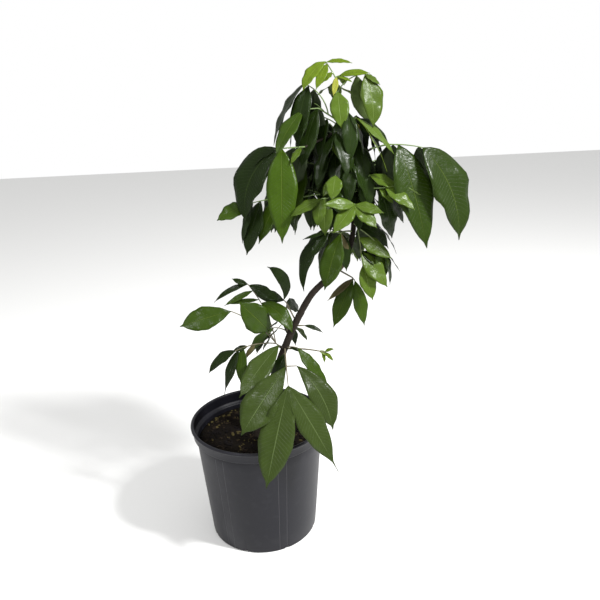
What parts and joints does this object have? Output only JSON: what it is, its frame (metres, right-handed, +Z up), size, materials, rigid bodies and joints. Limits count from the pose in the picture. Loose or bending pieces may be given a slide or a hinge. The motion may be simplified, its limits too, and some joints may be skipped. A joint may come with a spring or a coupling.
{
  "type": "potted lychee tree",
  "caption": "Young lychee tree with a bent slender trunk and drooping compound leaves, standing in a round black nursery pot.",
  "frame": {"origin": "centre of the pot's flat underside", "axes": "+Z up, -Y toward the front view, +X to the side the trunk leans to"},
  "size_m": [0.5537, 0.3769, 0.9458],
  "materials": {
    "pot": "black blow-moulded plastic, satin",
    "soil": "dark potting mix with bark crumbs",
    "bark": "grey-brown bark, rough",
    "leaves": "leathery green leaves, soft gloss above and matt below"
  },
  "bodies": {
    "root": {"pot": "pot", "soil": "soil", "trunk": "bark", "bough_left": "bark", "bough_right": "bark", "bough_front": "bark", "bough_low": "bark", "bough_back": "bark", "foliage_top": "leaves", "foliage_upper_left": "leaves", "foliage_left": "leaves", "foliage_left_low": "leaves", "foliage_right": "leaves", "foliage_upper_right": "leaves", "foliage_front": "leaves", "foliage_front_left": "leaves", "foliage_front_right": "leaves", "foliage_under": "leaves", "foliage_under_right": "leaves", "foliage_bend": "leaves", "foliage_low_upper": "leaves", "foliage_low_left": "leaves", "foliage_low_front": "leaves", "foliage_back": "leaves", "foliage_back_upper": "leaves", "foliage_back_left": "leaves", "foliage_back_right": "leaves", "foliage_back_low": "leaves", "foliage_low_back": "leaves", "foliage_side_shoot": "leaves", "foliage_low_right": "leaves"}
  },
  "joints": []
}
